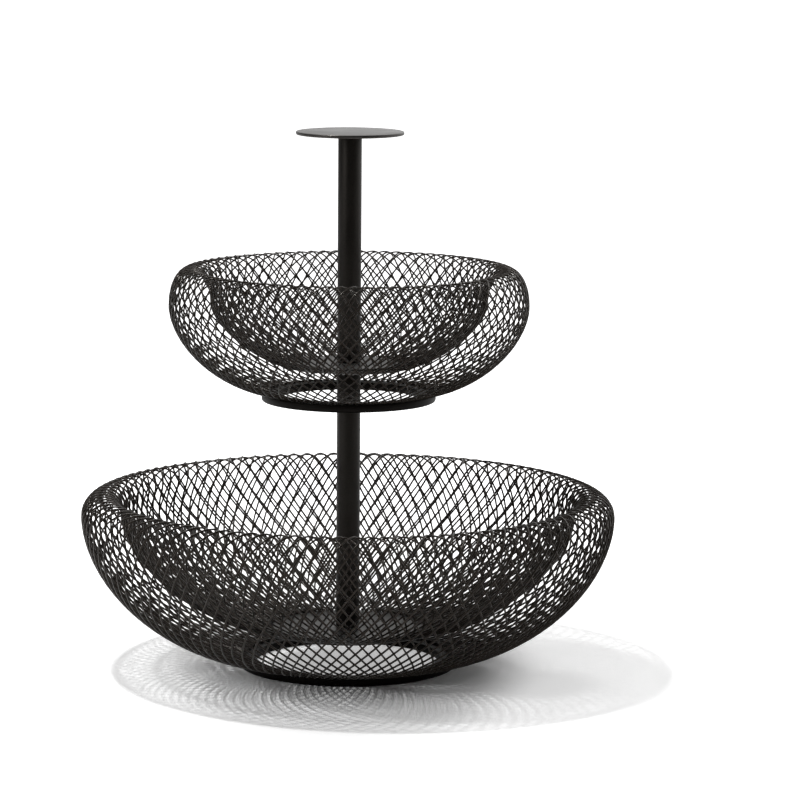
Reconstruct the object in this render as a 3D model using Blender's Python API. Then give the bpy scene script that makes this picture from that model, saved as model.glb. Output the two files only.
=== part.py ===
"""Two-tier fruit basket: two double-walled bowls of black diamond wire mesh on a round pole with a flat disc handle.

Each bowl is one skin of mesh that stands on a base ring, swells out, rolls over at the rim and comes down
inside to a round floor plate. The lower pole is screwed up against the lower floor plate. The upper floor
plate is clamped between the two poles by a stud, so the upper pole, with the disc handle on it, screws off
and the upper bowl lifts away. Lengths are in metres, +Z is up and the origin is the centre of the base
ring's underside.
"""

import math

import bmesh
import bpy
from mathutils import Vector

MM = 0.001

# Gaps between pieces
SEAT_GAP = 0.3 * MM
THREAD_GAP = 0.3 * MM
PRESS_GAP = 0.3 * MM

# Lower bowl, with heights above the underside of its base ring
LOWER_BULGE_RADIUS = 149.1 * MM
LOWER_BULGE_HEIGHT = 85.7 * MM
LOWER_RIM_RISE = 11.7 * MM
LOWER_RIM_OUTER_REACH = 13.2 * MM
LOWER_RIM_INNER_REACH = 9 * MM
LOWER_THROAT_DROP = 13 * MM
LOWER_RING_RADIUS = 61.5 * MM
LOWER_FLOOR_RADIUS = 46 * MM
LOWER_MESH_THICKNESS = 1.8 * MM
LOWER_STRAND_WIDTH = 3.8 * MM
LOWER_BELLY_EXPONENT = 1.83
LOWER_SHOULDER_EXPONENT = 2.08
LOWER_LIP_EXPONENT = 2.0
LOWER_BASIN_EXPONENT = 1.6

# Upper bowl, with heights above the underside of its base ring
UPPER_BULGE_RADIUS = 100.1 * MM
UPPER_BULGE_HEIGHT = 53 * MM
UPPER_RIM_RISE = 20.9 * MM
UPPER_RIM_OUTER_REACH = 11.5 * MM
UPPER_RIM_INNER_REACH = 11.7 * MM
UPPER_THROAT_DROP = 20 * MM
UPPER_RING_RADIUS = 48.8 * MM
UPPER_FLOOR_RADIUS = 27.5 * MM
UPPER_MESH_THICKNESS = 1.4 * MM
UPPER_STRAND_WIDTH = 3 * MM
UPPER_BELLY_EXPONENT = 1.74
UPPER_SHOULDER_EXPONENT = 2.16
UPPER_LIP_EXPONENT = 2.26
UPPER_BASIN_EXPONENT = 1.48

# Base rings, floor plates and the mesh's edges, which lap over the lower plate and under the upper one
RING_WIDTH = 10 * MM
RING_HEIGHT = 4.6 * MM
RING_EDGE_ROUND = 0.8 * MM
FOOT_INSET = 0.8 * MM
FOOT_FLANGE = 4 * MM
FLOOR_HEIGHT = 21.2 * MM
FLOOR_THICKNESS = 1.5 * MM
FLOOR_EDGE_ROUND = 0.4 * MM
LOWER_FLOOR_LAP = 3 * MM
UPPER_FLOOR_LAP = 5 * MM
UPPER_SOLE_REACH = 4 * MM

# Poles and their threaded inserts
POLE_RADIUS = 6.6 * MM
POLE_WALL = 1.2 * MM
POLE_END_ROUND = 0.3 * MM
LOWER_POLE_LENGTH = 148.4 * MM
UPPER_POLE_LENGTH = 127 * MM
INSERT_LENGTH = 14 * MM
INSERT_RECESS = 0.4 * MM

# Threads, and the parts that carry them
THREAD_RADIUS = 3 * MM
THREAD_REACH = 11 * MM
THREAD_END_ROUND = 0.6 * MM
SCREW_HEAD_RADIUS = 5.5 * MM
SCREW_HEAD_HEIGHT = 3.6 * MM
SCREW_HEAD_ROUND = 1 * MM
SOCKET_RADIUS = 2.3 * MM
SOCKET_DEPTH = 2.2 * MM
WASHER_RADIUS = 9 * MM
WASHER_THICKNESS = 1.2 * MM

# Disc handle
DISC_RADIUS = 30.1 * MM
DISC_THICKNESS = 1.8 * MM
DISC_EDGE_ROUND = 0.4 * MM

# Surface finishes: base colour, roughness and metallic value
WIRE_FINISH = {"color": (0.032, 0.028, 0.024), "roughness": 0.45, "metallic": 0.2}
COAT_FINISH = {"color": (0.028, 0.025, 0.022), "roughness": 0.5, "metallic": 0.1}
STEEL_FINISH = {"color": (0.55, 0.55, 0.56), "roughness": 0.35, "metallic": 1}

# How far round its quarter each belly curve already is where it leaves the base ring
BELLY_START = math.radians(6.3)

# The diamond net of each bowl: its strands each way, one for about four of the real wires, and its rows of
# crossings between the base ring, the bulge, the rim, the throat and the floor plate
LOWER_STRANDS = 28
UPPER_STRANDS = 20
LOWER_BELLY_ROWS = 6
UPPER_BELLY_ROWS = 5
SHOULDER_ROWS = 2
LIP_ROWS = 2
LOWER_BASIN_ROWS = 5
UPPER_BASIN_ROWS = 4

# How finely round shapes are cut
LOWER_RING_SEGMENTS = 52
UPPER_RING_SEGMENTS = 40
PLATE_SEGMENTS = 40
POLE_SEGMENTS = 32
THREAD_SEGMENTS = 20
SOCKET_SIDES = 6
EDGE_STEPS = 1
SOFT_EDGE_STEPS = 2
SHARP_ANGLE = math.radians(35)
WELD = 0.001 * MM


def clear_scene():
    for thing in list(bpy.data.objects):
        bpy.data.objects.remove(thing, do_unlink=True)


def add_material(name, finish):
    material = bpy.data.materials.new(name)
    material.use_nodes = True
    surface = material.node_tree.nodes["Principled BSDF"]
    surface.inputs["Base Color"].default_value = (*finish["color"], 1)
    surface.inputs["Roughness"].default_value = finish["roughness"]
    surface.inputs["Metallic"].default_value = finish["metallic"]
    return material


def joint_empty(name, height, parent=None):
    """An empty on the pole's axis that carries the pieces which move together."""
    empty = bpy.data.objects.new(name, None)
    empty.location = (0, 0, height)
    empty.parent = parent
    bpy.context.scene.collection.objects.link(empty)
    return empty


def add_piece(name, shape, parent, finish, height=0):
    """Puts a bmesh in the scene as a named piece with its own material, standing at a height on its parent."""
    mesh = bpy.data.meshes.new(name)
    shape.to_mesh(mesh)
    shape.free()
    mesh.materials.append(add_material(name, finish))
    mesh.shade_smooth()
    mesh.set_sharp_from_angle(angle=SHARP_ANGLE)
    piece = bpy.data.objects.new(name, mesh)
    piece.location = (0, 0, height)
    piece.parent = parent
    bpy.context.scene.collection.objects.link(piece)
    return piece


def turned(outline, segments, closed):
    """A shape turned round the pole's axis from an outline of (radius, height) points."""
    shape = bmesh.new()
    points = [shape.verts.new((radius, 0, height)) for radius, height in outline]
    edges = [shape.edges.new(pair) for pair in zip(points, points[1:])]
    if closed:
        edges.append(shape.edges.new((points[-1], points[0])))
    bmesh.ops.spin(
        shape, geom=points + edges, cent=(0, 0, 0), axis=(0, 0, 1),
        angle=math.tau, steps=segments, use_merge=True,
    )
    bmesh.ops.remove_doubles(shape, verts=shape.verts, dist=WELD)
    bmesh.ops.recalc_face_normals(shape, faces=shape.faces)
    return shape


def tube_outline(inner_radius, outer_radius, low, high):
    return [(inner_radius, low), (outer_radius, low), (outer_radius, high), (inner_radius, high)]


def rod_outline(radius, low, high):
    return [(0, low), (radius, low), (radius, high), (0, high)]


def round_edges(piece, width, steps):
    bevel = piece.modifiers.new("rounded edges", "BEVEL")
    bevel.width = width
    bevel.segments = steps
    bevel.limit_method = "ANGLE"
    bevel.angle_limit = SHARP_ANGLE


def turned_over(slope):
    """The slope that meets this one across an upright line, so that a sheet is cut off upright between them."""
    return Vector((slope.x, -slope.y))


def wall_sides(curve, thickness):
    """The two sides of a sheet along a curve, each half its thickness away, with both ends cut off upright."""
    slopes = [(end - start).normalized() for start, end in zip(curve, curve[1:])]
    before = [turned_over(slopes[0])] + slopes
    after = slopes + [turned_over(slopes[-1])]
    sides = ([], [])
    for point, arriving, leaving in zip(curve, before, after):
        along = (arriving + leaving).normalized()
        across = Vector((along.y, -along.x)) * thickness / 2 / along.dot(leaving)
        sides[0].append(point + across)
        sides[1].append(point - across)
    return sides


def quarter_curve(level_end, upright_end, exponent, steps, start=0):
    """A quarter of a superellipse, from a start on it, or where it runs level, to where it runs upright."""
    points = []
    for step in range(steps + 1):
        turn = start + (math.pi / 2 - start) * step / steps
        across = math.sin(turn) ** (2 / exponent)
        along = math.cos(turn) ** (2 / exponent)
        radius = level_end[0] + (upright_end[0] - level_end[0]) * across
        height = upright_end[1] + (level_end[1] - upright_end[1]) * along
        points.append((radius, height))
    return points


def belly_curve(foot, bulge, exponent, rows):
    """The part of a quarter curve from the foot, where it already rises, out to the bulge."""
    across = math.sin(BELLY_START) ** (2 / exponent)
    along = math.cos(BELLY_START) ** (2 / exponent)
    level_radius = (foot[0] - bulge[0] * across) / (1 - across)
    level_height = bulge[1] + (foot[1] - bulge[1]) / along
    return quarter_curve((level_radius, level_height), bulge, exponent, rows, BELLY_START)


def bowl_stations(bowl):
    """The points where a bowl's mesh changes from one curve to the next."""
    foot_height = RING_HEIGHT + SEAT_GAP + bowl["mesh_thickness"] / 2
    rim_radius = bowl["bulge_radius"] - bowl["rim_outer_reach"]
    rim_height = bowl["bulge_height"] + bowl["rim_rise"]
    return {
        "foot": (bowl["ring_radius"] - FOOT_INSET, foot_height),
        "bulge": (bowl["bulge_radius"], bowl["bulge_height"]),
        "rim": (rim_radius, rim_height),
        "throat": (rim_radius - bowl["rim_inner_reach"], rim_height - bowl["throat_drop"]),
        "sole": (bowl["sole_radius"], bowl["sole_height"]),
    }


def outer_wall_curve(bowl):
    """The middle of the mesh, row by row, from the rim out round the bulge to its flange on the base ring."""
    at = bowl_stations(bowl)
    flange = (at["foot"][0] - FOOT_FLANGE, at["foot"][1])
    rim = (at["rim"][0] + SEAT_GAP / 2, at["rim"][1])
    shoulder = quarter_curve(rim, at["bulge"], bowl["shoulder_exponent"], SHOULDER_ROWS)
    belly = belly_curve(at["foot"], at["bulge"], bowl["belly_exponent"], bowl["belly_rows"])
    return shoulder + belly[-2::-1] + [flange]


def inner_wall_curve(bowl):
    """The middle of the mesh, row by row, from the rim down round the basin to its flange on the floor plate."""
    at = bowl_stations(bowl)
    flange = (bowl["sole_end_radius"], at["sole"][1])
    rim = (at["rim"][0] - SEAT_GAP / 2, at["rim"][1])
    lip = quarter_curve(rim, at["throat"], bowl["lip_exponent"], LIP_ROWS)
    basin = quarter_curve(at["sole"], at["throat"], bowl["basin_exponent"], bowl["basin_rows"])
    return lip + basin[-2::-1] + [flange]


def crossing_reach(point, neighbour, bowl):
    """How far a crossing reaches towards a neighbouring row, as a share of the way, and to each side, as an angle."""
    along = (neighbour - point).length
    across = math.pi * (point.x + neighbour.x) / 2 / bowl["strands"]
    reach = bowl["strand_width"] / 2 * math.hypot(along, across)
    return reach / across / along, reach / along / point.x


def crossing_corners(curve, row, bowl):
    """The corners of a row's crossings, each as rows from the rim and an angle from the crossing's middle."""
    corners = {}
    widths = []
    if row > 0:
        share, width = crossing_reach(curve[row], curve[row - 1], bowl)
        corners["back"] = (row - share, 0)
        widths.append(width)
    if row < len(curve) - 2:
        share, width = crossing_reach(curve[row], curve[row + 1], bowl)
        corners["ahead"] = (row + share, 0)
        widths.append(width)
    width = sum(widths) / len(widths)
    corners["left"] = (row, -width)
    corners["right"] = (row, width)
    return corners


def net_point(side, travel, angle):
    """A point on one side of a wall, so many rows from the rim and at an angle round the pole."""
    row = min(int(travel), len(side) - 2)
    radius, height = side[row].lerp(side[row + 1], travel - row)
    return radius * math.cos(angle), radius * math.sin(angle), height


def net_sheet(curve, side, bowl):
    """One side of a wall: slanted strands between rows of crossings, and a closed band from the last row on."""
    shape = bmesh.new()
    travel = shape.verts.layers.float.new("travel")
    places = 2 * bowl["strands"]
    last = len(curve) - 2
    rows = [crossing_corners(curve, row, bowl) for row in range(last + 1)]
    rows.append({name: (last + 1, rows[last][name][1]) for name in ("left", "right")})
    at = {}
    for row, corners in enumerate(rows):
        for place in range(min(row, last) % 2, places, 2):
            for name, (rows_down, turn) in corners.items():
                point = shape.verts.new(net_point(side, rows_down, math.tau * place / places + turn))
                point[travel] = rows_down
                at[name, row, place] = point
    for row in range(last + 1):
        for place in range(row % 2, places, 2):
            around = [at.get((name, row, place)) for name in ("back", "right", "ahead", "left")]
            shape.faces.new([point for point in around if point])
            here, below = (row, place), row + 1
            if row < last:
                right, left = (below, (place + 1) % places), (below, (place - 1) % places)
                shape.faces.new([at["right", *here], at["back", *right], at["left", *right], at["ahead", *here]])
                shape.faces.new([at["ahead", *here], at["right", *left], at["back", *left], at["left", *here]])
            else:
                beside = (place + 2) % places
                shape.faces.new([at["left", *here], at["right", *here],
                                 at["right", below, place], at["left", below, place]])
                shape.faces.new([at["right", *here], at["left", row, beside],
                                 at["left", below, beside], at["right", below, place]])
    return shape, travel


def add_mesh_wall(name, curve, bowl, parent):
    """A diamond net with the thickness of two crossed wires, welded along the flange at its foot."""
    curve = [Vector(point) for point in curve]
    near_side, far_side = wall_sides(curve, bowl["mesh_thickness"])
    shape, travel = net_sheet(curve, near_side, bowl)
    thickened = bmesh.ops.extrude_face_region(shape, geom=shape.faces[:])
    for point in thickened["geom"]:
        if isinstance(point, bmesh.types.BMVert):
            point.co = net_point(far_side, point[travel], math.atan2(point.co.y, point.co.x))
    shape.verts.layers.float.remove(travel)
    bmesh.ops.recalc_face_normals(shape, faces=shape.faces)
    add_piece(name, shape, parent, WIRE_FINISH)


def add_base_ring(name, bowl, parent):
    inner_radius = bowl["ring_radius"] - RING_WIDTH
    outline = tube_outline(inner_radius, bowl["ring_radius"], 0, RING_HEIGHT)
    ring = add_piece(name, turned(outline, bowl["segments"], closed=True), parent, COAT_FINISH)
    round_edges(ring, RING_EDGE_ROUND, EDGE_STEPS)


def add_floor_plate(name, bowl, parent):
    underside = FLOOR_HEIGHT - FLOOR_THICKNESS
    outline = tube_outline(THREAD_RADIUS + THREAD_GAP, bowl["floor_radius"], underside, FLOOR_HEIGHT)
    plate = add_piece(name, turned(outline, PLATE_SEGMENTS, closed=True), parent, COAT_FINISH)
    round_edges(plate, FLOOR_EDGE_ROUND, EDGE_STEPS)


def add_bowl(prefix, bowl, parent):
    add_mesh_wall(f"{prefix}_mesh_outer_wall", outer_wall_curve(bowl), bowl, parent)
    add_mesh_wall(f"{prefix}_mesh_inner_wall", inner_wall_curve(bowl), bowl, parent)
    add_base_ring(f"{prefix}_base_ring", bowl, parent)
    add_floor_plate(f"{prefix}_floor_plate", bowl, parent)


def add_insert(name, parent, low):
    """A steel plug with a thread through it, pressed into the end of a pole."""
    outer_radius = POLE_RADIUS - POLE_WALL - PRESS_GAP
    outline = tube_outline(THREAD_RADIUS + THREAD_GAP, outer_radius, 0, INSERT_LENGTH)
    add_piece(name, turned(outline, THREAD_SEGMENTS, closed=True), parent, STEEL_FINISH, low)


def add_pole(prefix, length, parent, foot):
    """A steel tube with a threaded insert a little way inside each end."""
    outline = tube_outline(POLE_RADIUS - POLE_WALL, POLE_RADIUS, 0, length)
    shape = turned(outline, POLE_SEGMENTS, closed=True)
    tube = add_piece(f"{prefix}_tube", shape, parent, COAT_FINISH, foot)
    round_edges(tube, POLE_END_ROUND, EDGE_STEPS)
    add_insert(f"{prefix}_foot_insert", parent, foot + INSERT_RECESS)
    add_insert(f"{prefix}_head_insert", parent, foot + length - INSERT_RECESS - INSERT_LENGTH)


def add_threaded_rod(name, low, high, parent):
    shape = turned(rod_outline(THREAD_RADIUS, 0, high - low), THREAD_SEGMENTS, closed=False)
    rod = add_piece(name, shape, parent, STEEL_FINISH, low)
    round_edges(rod, THREAD_END_ROUND, EDGE_STEPS)


def add_foot_screw(parent, head_top, thread_top):
    """The pan head screw that holds the lower pole, with a six-sided socket in the underside of its head."""
    head_bottom = head_top - SCREW_HEAD_HEIGHT
    outline = [
        (0, head_bottom), (SCREW_HEAD_RADIUS, head_bottom), (SCREW_HEAD_RADIUS, head_top),
        (THREAD_RADIUS, head_top), (THREAD_RADIUS, thread_top), (0, thread_top),
    ]
    shape = turned(outline, THREAD_SEGMENTS, closed=False)
    screw = add_piece("foot_screw", shape, parent, STEEL_FINISH)
    round_edges(screw, SCREW_HEAD_ROUND, SOFT_EDGE_STEPS)
    cut_socket(screw, head_bottom, parent)


def cut_socket(screw, head_bottom, parent):
    shape = bmesh.new()
    bmesh.ops.create_cone(
        shape, cap_ends=True, segments=SOCKET_SIDES, radius1=SOCKET_RADIUS, radius2=SOCKET_RADIUS,
        depth=2 * SOCKET_DEPTH,
    )
    bmesh.ops.translate(shape, verts=shape.verts, vec=Vector((0, 0, head_bottom)))
    mesh = bpy.data.meshes.new("socket cutter")
    shape.to_mesh(mesh)
    shape.free()
    cutter = bpy.data.objects.new("socket cutter", mesh)
    cutter.parent = parent
    cutter.hide_render = True
    cutter.display_type = "WIRE"
    bpy.context.scene.collection.objects.link(cutter)
    cut = screw.modifiers.new("hexagon socket", "BOOLEAN")
    cut.operation = "DIFFERENCE"
    cut.object = cutter


def add_foot_fixing(parent, floor_underside, pole_foot):
    """The washer and screw that pull the lower pole down on the lower floor plate."""
    washer_top = floor_underside - SEAT_GAP
    washer_bottom = washer_top - WASHER_THICKNESS
    outline = tube_outline(THREAD_RADIUS + THREAD_GAP, WASHER_RADIUS, washer_bottom, washer_top)
    add_piece("foot_washer", turned(outline, PLATE_SEGMENTS, closed=True), parent, STEEL_FINISH)
    add_foot_screw(parent, washer_bottom - SEAT_GAP, pole_foot + THREAD_REACH)


def add_disc_handle(parent, pole_head):
    """The flat disc on top, with the stud welded under it that screws into the upper pole."""
    underside = pole_head + SEAT_GAP
    outline = rod_outline(DISC_RADIUS, underside, underside + DISC_THICKNESS)
    shape = turned(outline, PLATE_SEGMENTS, closed=False)
    disc = add_piece("handle_disc", shape, parent, COAT_FINISH)
    round_edges(disc, DISC_EDGE_ROUND, EDGE_STEPS)
    add_threaded_rod("handle_stud", pole_head - THREAD_REACH, pole_head, parent)


def build():
    clear_scene()

    # The lower mesh ends on top of its floor plate's edge, the upper mesh under the edge of its own
    floor_underside = FLOOR_HEIGHT - FLOOR_THICKNESS
    lower_bowl = {
        "bulge_radius": LOWER_BULGE_RADIUS,
        "bulge_height": LOWER_BULGE_HEIGHT,
        "rim_rise": LOWER_RIM_RISE,
        "rim_outer_reach": LOWER_RIM_OUTER_REACH,
        "rim_inner_reach": LOWER_RIM_INNER_REACH,
        "throat_drop": LOWER_THROAT_DROP,
        "ring_radius": LOWER_RING_RADIUS,
        "floor_radius": LOWER_FLOOR_RADIUS,
        "sole_radius": LOWER_FLOOR_RADIUS - FLOOR_EDGE_ROUND,
        "sole_height": FLOOR_HEIGHT + SEAT_GAP + LOWER_MESH_THICKNESS / 2,
        "sole_end_radius": LOWER_FLOOR_RADIUS - LOWER_FLOOR_LAP,
        "mesh_thickness": LOWER_MESH_THICKNESS,
        "belly_exponent": LOWER_BELLY_EXPONENT,
        "shoulder_exponent": LOWER_SHOULDER_EXPONENT,
        "lip_exponent": LOWER_LIP_EXPONENT,
        "basin_exponent": LOWER_BASIN_EXPONENT,
        "strands": LOWER_STRANDS,
        "strand_width": LOWER_STRAND_WIDTH,
        "belly_rows": LOWER_BELLY_ROWS,
        "basin_rows": LOWER_BASIN_ROWS,
        "segments": LOWER_RING_SEGMENTS,
    }
    upper_bowl = {
        "bulge_radius": UPPER_BULGE_RADIUS,
        "bulge_height": UPPER_BULGE_HEIGHT,
        "rim_rise": UPPER_RIM_RISE,
        "rim_outer_reach": UPPER_RIM_OUTER_REACH,
        "rim_inner_reach": UPPER_RIM_INNER_REACH,
        "throat_drop": UPPER_THROAT_DROP,
        "ring_radius": UPPER_RING_RADIUS,
        "floor_radius": UPPER_FLOOR_RADIUS,
        "sole_radius": UPPER_FLOOR_RADIUS + UPPER_SOLE_REACH,
        "sole_height": floor_underside - SEAT_GAP - UPPER_MESH_THICKNESS / 2,
        "sole_end_radius": UPPER_FLOOR_RADIUS - UPPER_FLOOR_LAP,
        "mesh_thickness": UPPER_MESH_THICKNESS,
        "belly_exponent": UPPER_BELLY_EXPONENT,
        "shoulder_exponent": UPPER_SHOULDER_EXPONENT,
        "lip_exponent": UPPER_LIP_EXPONENT,
        "basin_exponent": UPPER_BASIN_EXPONENT,
        "strands": UPPER_STRANDS,
        "strand_width": UPPER_STRAND_WIDTH,
        "belly_rows": UPPER_BELLY_ROWS,
        "basin_rows": UPPER_BASIN_ROWS,
        "segments": UPPER_RING_SEGMENTS,
    }

    # Heights up the pole, each from the piece below it
    lower_pole_foot = FLOOR_HEIGHT + SEAT_GAP
    lower_pole_head = lower_pole_foot + LOWER_POLE_LENGTH
    upper_base = lower_pole_head + SEAT_GAP - floor_underside
    upper_pole_foot = upper_base + FLOOR_HEIGHT + SEAT_GAP

    # Lower bowl and lower pole, which stand still
    stand = joint_empty("lower_stand", 0)
    add_bowl("lower", lower_bowl, stand)
    add_pole("lower_pole", LOWER_POLE_LENGTH, stand, lower_pole_foot)
    add_foot_fixing(stand, floor_underside, lower_pole_foot)
    stud_low = lower_pole_head - THREAD_REACH
    add_threaded_rod("joining_stud", stud_low, upper_pole_foot + THREAD_REACH, stand)

    # Upper bowl, which turns on the stud when the upper pole is slackened
    upper_turn = joint_empty("upper_bowl_turn", upper_base, stand)
    add_bowl("upper", upper_bowl, upper_turn)

    # Upper pole with its disc handle, which screws off the stud
    handle_turn = joint_empty("handle_turn", upper_pole_foot, stand)
    add_pole("upper_pole", UPPER_POLE_LENGTH, handle_turn, 0)
    add_disc_handle(handle_turn, UPPER_POLE_LENGTH)


build()
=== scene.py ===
import math

import bmesh
import bpy
import numpy as np
from mathutils import Euler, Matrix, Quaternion, Vector


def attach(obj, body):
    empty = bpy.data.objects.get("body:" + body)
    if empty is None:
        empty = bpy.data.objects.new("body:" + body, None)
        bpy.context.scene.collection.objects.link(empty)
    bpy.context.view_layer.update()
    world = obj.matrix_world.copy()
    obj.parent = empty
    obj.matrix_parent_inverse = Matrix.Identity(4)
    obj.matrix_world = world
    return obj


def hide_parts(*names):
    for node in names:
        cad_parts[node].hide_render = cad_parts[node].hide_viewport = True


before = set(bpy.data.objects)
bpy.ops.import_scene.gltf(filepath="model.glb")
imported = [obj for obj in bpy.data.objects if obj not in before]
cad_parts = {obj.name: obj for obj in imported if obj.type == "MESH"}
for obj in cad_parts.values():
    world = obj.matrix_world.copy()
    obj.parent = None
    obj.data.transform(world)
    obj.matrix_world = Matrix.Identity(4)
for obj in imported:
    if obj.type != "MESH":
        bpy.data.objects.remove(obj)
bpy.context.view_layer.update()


# Camera
# A long lens two metres in front of the pole and half a metre above the table, looking down a
# little. It is turned slightly to the right, which puts the pole left of the middle of the
# picture, and is held a touch askew.

camera_film_width = 36
camera_lens = 172.35
camera_sees_to = 100
camera_place = (0, -2.1221, 0.4692)
looking_down = math.radians(8.538)
turned_right = math.radians(0.776)
askew = math.radians(0.42)

camera_data = bpy.data.cameras.new("camera")
camera_data.sensor_width = camera_film_width
camera_data.lens = camera_lens
camera_data.clip_end = camera_sees_to
camera = bpy.data.objects.new("camera", camera_data)
camera.location = camera_place
level_turn = Euler((math.pi / 2 - looking_down, 0, -turned_right)).to_quaternion()
camera.rotation_euler = (level_turn @ Quaternion((0, 0, 1), askew)).to_euler()
bpy.context.scene.collection.objects.link(camera)
bpy.context.scene.camera = camera
bpy.context.scene.view_settings.view_transform = "Standard"


# Table and light
# A plain white table that runs on out of sight at the back and ends before the camera. One lamp
# high up on the left throws the lattice of the bowls to the right, and a soft one stands on each
# side. Behind, the room is white.

table_reach = 12
table_front = -0.85
white = (1, 1, 1, 1)
paper_colour = (0.86, 0.86, 0.86, 1)

# The paper glows by itself where the camera sees it, so that it turns white away from the stand.
# Nearer in, the glow is painted light: inside the base ring it paints the floor pale where the
# stand shades it, it stops round the ring so that the contact shadow stays dark, and from 0.12 m
# out a weak glow lightens the shadow. The stops are (metres from the foot, glow). A little more
# painted light is added on both sides, by the distance from the foot with the depth halved, which
# lightens the sides of the shadow. In the gloss of the coat the glow is a painted reflection,
# weaker under the stand than in front of it.
paper_glow_stops = [(0.050, 0.42), (0.058, 0), (0.075, 0), (0.12, 0.13), (0.20, 0.14), (0.5, 0.7)]
paper_squash = (1, 0.5, 1)
paper_side_span, paper_side_glow = (0.072, 0.112), (0, 0.3)
paper_gloss_span, paper_gloss_share = (-0.30, -0.12), (1.0, 0.3)

# The room's own light, by the direction from which it comes.
room_depth_span, room_depth_light = (0, 0.7), (0.05, 1.15)
room_side_span, room_side_share = (-0.7, 0.4), (0.2, 1.45)
room_height_span, room_height_light = (0.3, 0.9), (0, 0.2)


def add_node(tree, kind, values=None, **settings):
    """A new node, with its settings made and the values of its own sockets set."""
    node = tree.nodes.new(kind)
    for setting, choice in settings.items():
        setattr(node, setting, choice)
    for socket, value in (values or {}).items():
        node.inputs[socket].default_value = value
    return node


def ramp(tree, source, span, result, interpolation="LINEAR"):
    """A value that runs from one result to the other as its source crosses a span."""
    node = add_node(tree, "ShaderNodeMapRange",
                    {"From Min": span[0], "From Max": span[1],
                     "To Min": result[0], "To Max": result[1]},
                    interpolation_type=interpolation)
    tree.links.new(source, node.inputs["Value"])
    return node.outputs["Result"]


def combine(tree, operation, first, second):
    """The sum, the product or the larger of two values."""
    node = add_node(tree, "ShaderNodeMath", operation=operation)
    tree.links.new(first, node.inputs[0])
    tree.links.new(second, node.inputs[1])
    return node.outputs[0]


def length_of(tree, place):
    """How far a place lies from the origin."""
    node = add_node(tree, "ShaderNodeVectorMath", operation="LENGTH")
    tree.links.new(place, node.inputs[0])
    return node.outputs["Value"]


def hang_lamp(name, shape, size, energy, place):
    """A flat lamp that faces the foot of the stand."""
    light = bpy.data.lights.new(name, "AREA")
    light.shape = shape
    light.size = size
    light.energy = energy
    lamp = bpy.data.objects.new(name, light)
    lamp.location = place
    lamp.rotation_euler = (-lamp.location).to_track_quat("-Z", "Y").to_euler()
    bpy.context.scene.collection.objects.link(lamp)


table_shape = bmesh.new()
bmesh.ops.create_grid(table_shape, x_segments=1, y_segments=1, size=table_reach)
bmesh.ops.translate(table_shape, verts=table_shape.verts,
                    vec=Vector((0, table_reach + table_front, 0)))
table_mesh = bpy.data.meshes.new("table")
table_shape.to_mesh(table_mesh)
table_shape.free()
table = bpy.data.objects.new("table", table_mesh)
bpy.context.scene.collection.objects.link(table)

white_paper = bpy.data.materials.new("white paper")
white_paper.use_nodes = True
paper = white_paper.node_tree
paper.nodes.clear()
paper_place = add_node(paper, "ShaderNodeTexCoord").outputs["Object"]

# Painted light on the paper, by the distance from the foot.
paper_fade = add_node(paper, "ShaderNodeValToRGB")
stops = paper_fade.color_ramp.elements
while len(stops) < len(paper_glow_stops):
    stops.new(paper_glow_stops[-1][0])
for stop, (position, grey) in zip(stops, paper_glow_stops):
    stop.position = position
    stop.color = (grey, grey, grey, 1)
paper.links.new(length_of(paper, paper_place), paper_fade.inputs["Fac"])

# Painted light on both sides of the stand, which lightens the shadow there.
paper_aside = add_node(paper, "ShaderNodeVectorMath", {1: paper_squash}, operation="MULTIPLY")
paper.links.new(paper_place, paper_aside.inputs[0])
paper_side_painted_light = ramp(paper, length_of(paper, paper_aside.outputs["Vector"]),
                   paper_side_span, paper_side_glow, "SMOOTHSTEP")
paper_painted_light = combine(paper, "ADD", paper_fade.outputs["Color"], paper_side_painted_light)

# Painted reflection: in the gloss of the coat the paper glows fully only in front of the stand.
paper_axes = add_node(paper, "ShaderNodeSeparateXYZ")
paper.links.new(paper_place, paper_axes.inputs[0])
paper_gloss = ramp(paper, paper_axes.outputs["Y"], paper_gloss_span, paper_gloss_share,
                   "SMOOTHSTEP")
paper_path = add_node(paper, "ShaderNodeLightPath")
paper_painted_reflection = combine(paper, "MULTIPLY", paper_path.outputs["Is Glossy Ray"], paper_gloss)
paper_seen = combine(paper, "MAXIMUM", paper_path.outputs["Is Camera Ray"], paper_painted_reflection)

paper_diffuse = add_node(paper, "ShaderNodeBsdfDiffuse", {"Color": paper_colour})
paper_glow = add_node(paper, "ShaderNodeEmission", {"Color": white})
paper.links.new(combine(paper, "MULTIPLY", paper_painted_light, paper_seen), paper_glow.inputs["Strength"])
paper_both = add_node(paper, "ShaderNodeAddShader")
paper.links.new(paper_diffuse.outputs[0], paper_both.inputs[0])
paper.links.new(paper_glow.outputs[0], paper_both.inputs[1])
paper_out = add_node(paper, "ShaderNodeOutputMaterial")
paper.links.new(paper_both.outputs[0], paper_out.inputs["Surface"])
table_mesh.materials.append(white_paper)

hang_lamp("key lamp", shape="DISK", size=0.11, energy=24, place=(-0.53, 0.27, 1.85))
hang_lamp("left soft lamp", shape="SQUARE", size=0.9, energy=4, place=(-1.15, -0.9, 0.7))
hang_lamp("right soft lamp", shape="SQUARE", size=0.9, energy=3, place=(1.35, 0.1, 0.8))

pale_room = bpy.data.worlds.new("pale room")
pale_room.use_nodes = True
bpy.context.scene.world = pale_room
room = pale_room.node_tree
room.nodes.clear()
room_axes = add_node(room, "ShaderNodeSeparateXYZ")
room.links.new(add_node(room, "ShaderNodeTexCoord").outputs["Generated"], room_axes.inputs[0])
room_depth = ramp(room, room_axes.outputs["Y"], room_depth_span, room_depth_light, "SMOOTHSTEP")
room_side = ramp(room, room_axes.outputs["X"], room_side_span, room_side_share, "SMOOTHSTEP")
room_height = ramp(room, room_axes.outputs["Z"], room_height_span, room_height_light, "SMOOTHSTEP")
room_back = combine(room, "MULTIPLY", room_depth, room_side)

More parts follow.
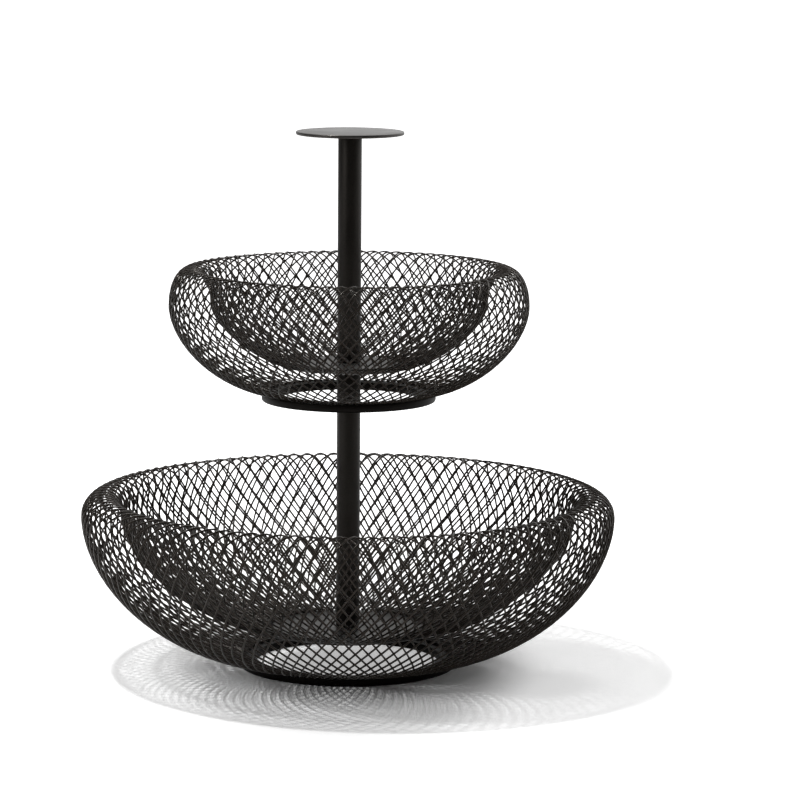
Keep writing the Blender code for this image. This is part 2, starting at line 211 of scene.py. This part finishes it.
room_light = add_node(room, "ShaderNodeBackground")
room.links.new(combine(room, "MAXIMUM", room_back, room_height), room_light.inputs["Strength"])
room_seen = add_node(room, "ShaderNodeBackground", {"Color": white})
room_choice = add_node(room, "ShaderNodeMixShader")
room_path = add_node(room, "ShaderNodeLightPath")
room.links.new(room_path.outputs["Is Camera Ray"], room_choice.inputs[0])
room.links.new(room_light.outputs[0], room_choice.inputs[1])
room.links.new(room_seen.outputs[0], room_choice.inputs[2])
room_out = add_node(room, "ShaderNodeOutputWorld")
room.links.new(room_choice.outputs[0], room_out.inputs["Surface"])


# Lower base ring
# A flat steel ring that the whole stand rests on, powder coated black with a fine grain. Its edges
# are rounded over, and the wires of the bowl are welded to its top.

base_ring_width = 0.010
base_ring_height = 0.0046
base_ring_round = 0.0009
base_ring_facets = 160
lower_ring_radius = 0.0615
weld_together = 1e-6
corner_segments = 3
sharp_corner = math.radians(30)

# The coat's grain: a fine orange peel over a slow cloud, each of which darkens and lightens it.
peel_scale, peel_detail = 1500, 2
peel_shades = (0.7, 1.3)
peel_height = 0.0001
cloud_scale, cloud_detail = 70, 3
cloud_shades = (0.88, 1.12)
noise_span = (0.3, 0.7)
warm_gleam = (1, 0.92, 0.84, 1)

grain_group = bpy.data.node_groups.new("powder coat grain", "ShaderNodeTree")
for way, socket, kind in (("INPUT", "Colour", "NodeSocketColor"),
                          ("INPUT", "Roughness", "NodeSocketFloat"),
                          ("INPUT", "Grain Depth", "NodeSocketFloat"),
                          ("OUTPUT", "Colour", "NodeSocketColor"),
                          ("OUTPUT", "Roughness", "NodeSocketFloat"),
                          ("OUTPUT", "Normal", "NodeSocketVector")):
    grain_group.interface.new_socket(socket, in_out=way, socket_type=kind)
grain_in = add_node(grain_group, "NodeGroupInput")
grain_out = add_node(grain_group, "NodeGroupOutput")
grain_place = add_node(grain_group, "ShaderNodeTexCoord").outputs["Object"]
orange_peel = add_node(grain_group, "ShaderNodeTexNoise",
                       {"Scale": peel_scale, "Detail": peel_detail})
cloud = add_node(grain_group, "ShaderNodeTexNoise",
                 {"Scale": cloud_scale, "Detail": cloud_detail})
grain_group.links.new(grain_place, orange_peel.inputs["Vector"])
grain_group.links.new(grain_place, cloud.inputs["Vector"])
cloud_share = ramp(grain_group, cloud.outputs["Fac"], noise_span, cloud_shades)
peel_share = ramp(grain_group, orange_peel.outputs["Fac"], noise_span, peel_shades)

shaded = add_node(grain_group, "ShaderNodeVectorMath", operation="SCALE")
grain_group.links.new(grain_in.outputs["Colour"], shaded.inputs[0])
grain_group.links.new(combine(grain_group, "MULTIPLY", cloud_share, peel_share),
                      shaded.inputs["Scale"])
grain_group.links.new(shaded.outputs["Vector"], grain_out.inputs["Colour"])
dulled = combine(grain_group, "MULTIPLY", grain_in.outputs["Roughness"], cloud_share)
grain_group.links.new(dulled, grain_out.inputs["Roughness"])
peel_bump = add_node(grain_group, "ShaderNodeBump", {"Distance": peel_height})
grain_group.links.new(grain_in.outputs["Grain Depth"], peel_bump.inputs["Strength"])
grain_group.links.new(orange_peel.outputs["Fac"], peel_bump.inputs["Height"])
grain_group.links.new(peel_bump.outputs["Normal"], grain_out.inputs["Normal"])


def powder_coat(name, colour, roughness, grain_depth, specular):
    """A black coat with its own shade and gloss, and the grain that all the coats share."""
    material = bpy.data.materials.new(name)
    material.use_nodes = True
    links = material.node_tree.links
    surface = material.node_tree.nodes["Principled BSDF"]
    surface.inputs["Specular IOR Level"].default_value = specular
    surface.inputs["Specular Tint"].default_value = warm_gleam
    grain = add_node(material.node_tree, "ShaderNodeGroup",
                     {"Colour": (*colour, 1), "Roughness": roughness, "Grain Depth": grain_depth},
                     node_tree=grain_group)
    links.new(grain.outputs["Colour"], surface.inputs["Base Color"])
    links.new(grain.outputs["Roughness"], surface.inputs["Roughness"])
    links.new(grain.outputs["Normal"], surface.inputs["Normal"])
    return material


def turned(outline, facets):
    """A shape turned round the pole's axis from its outline of (radius, height) points."""
    shape = bmesh.new()
    points = [shape.verts.new((radius, 0, height)) for radius, height in outline]
    edges = [shape.edges.new(pair) for pair in zip(points, points[1:])]
    if outline[0][0] > 0 or outline[-1][0] > 0:
        edges.append(shape.edges.new((points[-1], points[0])))
    bmesh.ops.spin(shape, geom=points + edges, cent=(0, 0, 0), axis=(0, 0, 1),
                   angle=math.tau, steps=facets, use_merge=True)
    bmesh.ops.remove_doubles(shape, verts=shape.verts, dist=weld_together)
    bmesh.ops.recalc_face_normals(shape, faces=shape.faces)
    return shape


def round_corners(shape, width):
    """Rounds every edge where two faces meet at a sharp corner."""
    sharp = [edge for edge in shape.edges
             if len(edge.link_faces) == 2 and edge.calc_face_angle() > sharp_corner]
    bmesh.ops.bevel(shape, geom=sharp, offset=width, offset_type="OFFSET", affect="EDGES",
                    segments=corner_segments, profile=0.5, material=-1)


def place_piece(name, shape, material, body, slot, *stands_for):
    """Puts a finished shape in the scene as a piece that moves with a body."""
    mesh = bpy.data.meshes.new(name)
    shape.to_mesh(mesh)
    shape.free()
    mesh.shade_smooth()
    mesh.materials.append(material)
    piece = bpy.data.objects.new(name, mesh)
    bpy.context.scene.collection.objects.link(piece)
    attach(piece, body)
    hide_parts(*stands_for)


def base_ring(name, radius, foot, material, body, node):
    """A ring with its outside at a radius, standing at the height of its foot."""
    low, high = foot, foot + base_ring_height
    inside = radius - base_ring_width
    shape = turned([(inside, low), (radius, low), (radius, high), (inside, high)],
                   base_ring_facets)
    round_corners(shape, base_ring_round)
    place_piece(name, shape, material, body, "powder_coat", node)


# Painted shade: the ring's coat is darker and less glossy than the rest of the black coat, so that
# its front face reads black, as it does where it faces the shadow on the table before it.
ring_coat_painted_shade = powder_coat("ring powder coat", colour=(0.0045, 0.0038, 0.0033), roughness=0.42,
                        grain_depth=0.35, specular=0.07)
base_ring("lower_ring", lower_ring_radius, 0, ring_coat_painted_shade, "lower_stand", "lower_base_ring")


# Lower bowl skin
# One double-walled skin of black wire: 108 wires lean one way and 108 the other, welded wherever
# they cross. Each starts on the base ring, swells out, loops over the rim and ends on the edge of
# the floor plate. The cells keep their side length, so they stretch tall where the bowl is narrow.

# From flange to end come the (radius, height) points where the skin's line changes its curve. The
# curves are the exponents of belly, shoulder, lip and basin between them. The two families lie
# apart by twice the set off, and a cell's centre is at (degrees round, metres up the skin).
lower_skin = {
    "flange": (0.0567, 0.0053),
    "foot": (0.0607, 0.0053),
    "bulge": (0.1491, 0.0857),
    "rim": (0.1359, 0.0974),
    "throat": (0.1269, 0.0844),
    "sole": (0.0456, 0.0219),
    "end": (0.0430, 0.0219),
    "curves": (1.83, 2.08, 2.0, 1.6),
    "wires": 108,
    "cell_side": 0.01490,
    "wire_radius": 0.00054,
    "set_off": 0.00025,
    "cell_centre": (-91.4, 0.058),
}
belly_start = math.radians(6.3)
curve_steps = 60
line_step = 0.0001
same_point = 1e-9
points_per_cell = 6
wire_roundness = 1

# At each weld a wire swells by this share of its radius, over this share of half a cell.
weld_swell = 0.08
weld_reach = 0.25


def quarter_curve(level_end, upright_end, exponent, start=0):
    """A quarter of a superellipse, from its level end or a start after it to its upright end."""
    turns = np.linspace(start, math.pi / 2, curve_steps + 1)
    across = np.sin(turns) ** (2 / exponent)
    along = np.abs(np.cos(turns)) ** (2 / exponent)
    radius = level_end[0] + (upright_end[0] - level_end[0]) * across
    height = upright_end[1] + (level_end[1] - upright_end[1]) * along
    return np.stack([radius, height], axis=1)


def belly_curve(foot, bulge, exponent):
    """The part of a quarter curve from the foot, where it already rises, out to the bulge."""
    across = math.sin(belly_start) ** (2 / exponent)
    along = math.cos(belly_start) ** (2 / exponent)
    level_end = ((foot[0] - bulge[0] * across) / (1 - across),
                 bulge[1] + (foot[1] - bulge[1]) / along)
    return quarter_curve(level_end, bulge, exponent, belly_start)


def skin_line(skin):
    """The skin's line in even steps from ring to plate: distance, point and outward direction."""
    belly, shoulder, lip, basin = skin["curves"]
    points = np.concatenate([
        np.array([skin["flange"]]),
        belly_curve(skin["foot"], skin["bulge"], belly),
        quarter_curve(skin["rim"], skin["bulge"], shoulder)[::-1],
        quarter_curve(skin["rim"], skin["throat"], lip),
        quarter_curve(skin["sole"], skin["throat"], basin)[::-1],
        np.array([skin["end"]]),
    ])
    steps = np.linalg.norm(np.diff(points, axis=0), axis=1)
    points = points[np.append(True, steps > same_point)]
    travel = np.append(0, np.cumsum(np.linalg.norm(np.diff(points, axis=0), axis=1)))
    even = np.arange(0, travel[-1], line_step)
    line = np.stack([np.interp(even, travel, points[:, 0]),
                     np.interp(even, travel, points[:, 1])], axis=1)
    along = np.gradient(line, even, axis=0)
    along /= np.linalg.norm(along, axis=1)[:, None]
    outward = np.stack([along[:, 1], -along[:, 0]], axis=1)
    return even - (skin["foot"][0] - skin["flange"][0]), line, outward


def wire_route(skin, lean):
    """The points of one wire and its swell at each, leaning to the right (1) or left (-1)."""
    travel, line, outward = skin_line(skin)
    pitch = math.tau / skin["wires"]
    cell_width = math.tau * line[:, 0] / skin["wires"]
    cell_height = np.sqrt(skin["cell_side"] ** 2 - cell_width ** 2)
    turn = np.cumsum(pitch / cell_height) * line_step
    centre_angle, centre_travel = skin["cell_centre"]
    turn -= np.interp(centre_travel, travel, turn)
    wanted = np.arange(math.ceil(turn[0] / pitch * points_per_cell),
                       turn[-1] / pitch * points_per_cell)
    wanted = np.concatenate([[turn[0]], wanted * pitch / points_per_cell, [turn[-1]]])
    radius, height, outward_radius, outward_height = [
        np.interp(wanted, turn, values)
        for values in (line[:, 0], line[:, 1], outward[:, 0], outward[:, 1])]
    radius = radius + lean * skin["set_off"] * outward_radius
    height = height + lean * skin["set_off"] * outward_height
    angle = math.radians(centre_angle) + pitch / 2 + lean * wanted
    half_cells = wanted / (pitch / 2)
    from_weld = np.abs(half_cells - np.round(half_cells))
    swell = 1 + weld_swell * np.clip(1 - from_weld / weld_reach, 0, 1)
    return np.stack([radius * np.cos(angle), radius * np.sin(angle), height, swell], axis=1)


def bent_wire(name, route, radius):
    """A round wire along a route, as a mesh."""
    curve = bpy.data.curves.new(name, "CURVE")
    curve.dimensions = "3D"
    curve.bevel_depth = radius
    curve.bevel_resolution = wire_roundness
    curve.use_fill_caps = True
    spline = curve.splines.new("POLY")
    spline.points.add(len(route) - 1)
    for point, (x, y, z, swell) in zip(spline.points, route):
        point.co = (x, y, z, 1)
        point.radius = swell
    holder = bpy.data.objects.new(name, curve)
    bpy.context.scene.collection.objects.link(holder)
    depsgraph = bpy.context.evaluated_depsgraph_get()
    mesh = bpy.data.meshes.new_from_object(holder.evaluated_get(depsgraph))
    bpy.data.objects.remove(holder)
    bpy.data.curves.remove(curve)
    return mesh


def wire_family(name, skin, lean, material, body, *stands_for):
    """All the wires of a bowl that lean one way, from one wire repeated round the pole."""
    one = bent_wire(name, wire_route(skin, lean), skin["wire_radius"])
    shape = bmesh.new()
    shape.from_mesh(one)
    bpy.data.meshes.remove(one)
    bmesh.ops.remove_doubles(shape, verts=shape.verts, dist=weld_together)
    copies = skin["wires"] - 1
    bmesh.ops.spin(shape, geom=shape.verts[:] + shape.edges[:] + shape.faces[:],
                   cent=(0, 0, 0), axis=(0, 0, 1), angle=math.tau * copies / skin["wires"],
                   steps=copies, use_duplicate=True)
    bmesh.ops.recalc_face_normals(shape, faces=shape.faces)
    place_piece(name, shape, material, body, "mesh_wire", *stands_for)


wire_coat = powder_coat("wire powder coat", colour=(0.0155, 0.0112, 0.0080), roughness=0.3,
                        grain_depth=0.2, specular=0.29)
for side, lean in (("right", 1), ("left", -1)):
    wire_family(f"lower_wires_{side}", lower_skin, lean, wire_coat, "lower_stand",
                "lower_mesh_outer_wall", "lower_mesh_inner_wall")


# Lower floor plate
# A thin round plate that closes the bottom of the basin, with the ends of the wires welded on its
# edge. It is powder coated in the same black, with a slightly smoother face, but its colour is set
# lighter than the ring's, which paints part of the grey gleam on its top.

floor_plate_top = 0.0212
floor_plate_thickness = 0.0015
floor_plate_hole = 0.0033
floor_plate_round = 0.0005
plate_facets = 128
lower_plate_radius = 0.046


def floor_plate(name, radius, foot, material, body, node):
    """A plate with a hole for the screw or stud, above the foot of its bowl."""
    high = foot + floor_plate_top
    low = high - floor_plate_thickness
    shape = turned([(floor_plate_hole, low), (radius, low), (radius, high),
                    (floor_plate_hole, high)], plate_facets)
    round_corners(shape, floor_plate_round)
    place_piece(name, shape, material, body, "powder_coat", node)


# Painted sheen: the plate's colour is a lighter grey than the rest of the coat, standing in for
# part of the gleam on its top.
plate_coat_painted_sheen = powder_coat("plate powder coat", colour=(0.034, 0.0345, 0.035), roughness=0.34,
                         grain_depth=0.25, specular=0.7)
floor_plate("lower_plate", lower_plate_radius, 0, plate_coat_painted_sheen, "lower_stand", "lower_floor_plate")


# Foot washer and foot screw
# The pan head screw that holds the pole, up through a flat washer under the plate. Both are bright
# zinc on steel, faintly brushed round the pole's axis, and so are the studs and inserts inside. The
# screw's head is domed at the edge, with a six-sided socket in it.

washer_radius = 0.009
washer_bore = 0.0033
washer_low, washer_high = 0.0182, 0.0194
washer_round = 0.0003
fastener_facets = 96
screw_head_radius = 0.0055
screw_head_low, screw_head_high = 0.0143, 0.0179
dome_radius = 0.0016
dome_points = 8
socket_radius = 0.0023
socket_depth = 0.0022
socket_wall_reach = 1e-5
half_flat = math.pi / 6
screw_thread_radius = 0.0030
screw_thread_end = 0.0325
thread_pitch = 0.001
thread_depth = 0.00035

zinc_dark = (0.46, 0.47, 0.49, 1)
zinc_pale = (0.62, 0.62, 0.61, 1)
zinc_noise_span, zinc_roughness = (0, 1), (0.22, 0.42)
zinc_cloud_scale, zinc_cloud_detail = 400, 4
brushing_scale, brushing_waver = 900, 3
brushing_strength = 0.15
brushing_height = 0.0001

bright_zinc = bpy.data.materials.new("bright zinc")
bright_zinc.use_nodes = True
zinc = bright_zinc.node_tree
zinc_surface = zinc.nodes["Principled BSDF"]
zinc_surface.inputs["Metallic"].default_value = 1
zinc_place = add_node(zinc, "ShaderNodeTexCoord").outputs["Object"]
zinc_cloud = add_node(zinc, "ShaderNodeTexNoise",
                      {"Scale": zinc_cloud_scale, "Detail": zinc_cloud_detail})
zinc.links.new(zinc_place, zinc_cloud.inputs["Vector"])
zinc.links.new(ramp(zinc, zinc_cloud.outputs["Fac"], zinc_noise_span, zinc_roughness),
               zinc_surface.inputs["Roughness"])
zinc_tint = add_node(zinc, "ShaderNodeMix", {"A": zinc_dark, "B": zinc_pale}, data_type="RGBA")
zinc.links.new(zinc_cloud.outputs["Fac"], zinc_tint.inputs["Factor"])
zinc.links.new(zinc_tint.outputs["Result"], zinc_surface.inputs["Base Color"])
brushing = add_node(zinc, "ShaderNodeTexWave",
                    {"Scale": brushing_scale, "Distortion": brushing_waver},
                    wave_type="RINGS", rings_direction="Z")
zinc.links.new(zinc_place, brushing.inputs["Vector"])
brushed = add_node(zinc, "ShaderNodeBump",
                   {"Strength": brushing_strength, "Distance": brushing_height})
zinc.links.new(brushing.outputs["Fac"], brushed.inputs["Height"])
zinc.links.new(brushed.outputs["Normal"], zinc_surface.inputs["Normal"])

washer = turned([(washer_bore, washer_low), (washer_radius, washer_low),
                 (washer_radius, washer_high), (washer_bore, washer_high)], fastener_facets)
round_corners(washer, washer_round)
place_piece("foot_washer_finished", washer, bright_zinc, "lower_stand", "fastener_steel",
            "foot_washer")

dome = [(screw_head_radius - dome_radius * (1 - math.sin(turn)),
         screw_head_low + dome_radius * (1 - math.cos(turn)))
        for turn in np.linspace(0, math.pi / 2, dome_points)]
thread = [(screw_thread_radius, screw_head_high)]
while thread[-1][1] + thread_pitch < screw_thread_end:
    crest_height = thread[-1][1]
    thread += [(screw_thread_radius - thread_depth, crest_height + thread_pitch / 2),
               (screw_thread_radius, crest_height + thread_pitch)]
socket_floor = screw_head_low + socket_depth
screw = turned([(0, socket_floor), (socket_radius, socket_floor), (socket_radius, screw_head_low)]
               + dome + [(screw_head_radius, screw_head_high)] + thread
               + [(screw_thread_radius - thread_depth, screw_thread_end), (0, screw_thread_end)],
               fastener_facets)
for corner in screw.verts:
    off_wall = abs(math.hypot(corner.co.x, corner.co.y) - socket_radius)
    if off_wall < socket_wall_reach and corner.co.z < socket_floor + socket_wall_reach:
        turn = math.atan2(corner.co.y, corner.co.x)
        off_flat = (turn + half_flat) % (2 * half_flat) - half_flat
        to_flat = math.cos(half_flat) / math.cos(off_flat)
        corner.co.x *= to_flat
        corner.co.y *= to_flat
place_piece("foot_screw_finished", screw, bright_zinc, "lower_stand", "fastener_steel",
            "foot_screw")

for node in ("lower_pole_foot_insert", "lower_pole_head_insert", "joining_stud",
             "upper_pole_foot_insert", "upper_pole_head_insert", "handle_stud"):
    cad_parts[node].material_slots[0].material = bright_zinc


# Lower pole
# A straight steel tube that stands on the floor plate, in the same black coat. Its ends are cut
# square and lightly rounded.

pole_radius = 0.0066
pole_wall = 0.0012
pole_end_round = 0.0004
pole_facets = 64
lower_pole_foot = 0.0215
lower_pole_head = 0.1699


def pole(name, low, high, material, body, node):
    """A length of the tube from one height to another."""
    bore = pole_radius - pole_wall
    shape = turned([(bore, low), (pole_radius, low), (pole_radius, high), (bore, high)],
                   pole_facets)
    round_corners(shape, pole_end_round)
    place_piece(name, shape, material, body, "powder_coat", node)


pole_coat = powder_coat("pole powder coat", colour=(0.010, 0.0086, 0.0074), roughness=0.38,
                        grain_depth=0.3, specular=0.27)
pole("lower_pole", lower_pole_foot, lower_pole_head, pole_coat, "lower_stand", "lower_pole_tube")


# Upper bowl
# The same ring, skin and floor plate at a smaller size, with 78 finer wires each way, which end
# under the plate. The plate is clamped between the two poles, and the ring hangs free round the
# lower pole.

upper_foot = 0.1505
upper_ring_radius = 0.0488
upper_plate_radius = 0.0275
upper_skin = {
    "flange": (0.0440, 0.15564),
    "foot": (0.0480, 0.15564),
    "bulge": (0.1001, 0.2035),
    "rim": (0.0886, 0.2244),
    "throat": (0.0769, 0.2044),
    "sole": (0.0315, 0.16966),
    "end": (0.0245, 0.16966),
    "curves": (1.74, 2.16, 2.26, 1.48),
    "wires": 78,
    "cell_side": 0.0120,
    "wire_radius": 0.00045,
    "set_off": 0.0002,
    "cell_centre": (-90, 0.04),
}
base_ring("upper_ring", upper_ring_radius, upper_foot, ring_coat_painted_shade, "upper_bowl", "upper_base_ring")
for side, lean in (("right", 1), ("left", -1)):
    wire_family(f"upper_wires_{side}", upper_skin, lean, wire_coat, "upper_bowl",
                "upper_mesh_outer_wall", "upper_mesh_inner_wall")
floor_plate("upper_plate", upper_plate_radius, upper_foot, plate_coat_painted_sheen, "upper_bowl",
            "upper_floor_plate")


# Upper pole and disc handle
# The same tube again, screwed down on the joining stud, with a flat round sheet on top to lift the
# stand by. The sheet has the same black coat, and its edge is lightly rounded.

upper_pole_foot = 0.1720
upper_pole_head = 0.2990
disc_radius = 0.0301
disc_underside = 0.2993
disc_thickness = 0.0018
disc_round = 0.0005
disc_top = disc_underside + disc_thickness

pole("upper_pole", upper_pole_foot, upper_pole_head, pole_coat, "handle_pole", "upper_pole_tube")
disc = turned([(0, disc_underside), (disc_radius, disc_underside), (disc_radius, disc_top),
               (0, disc_top)], plate_facets)
round_corners(disc, disc_round)
disc_coat = powder_coat("disc powder coat", colour=(0.024, 0.0235, 0.023), roughness=0.34,
                        grain_depth=0.3, specular=0.6)
place_piece("disc", disc, disc_coat, "handle_pole", "powder_coat", "handle_disc")
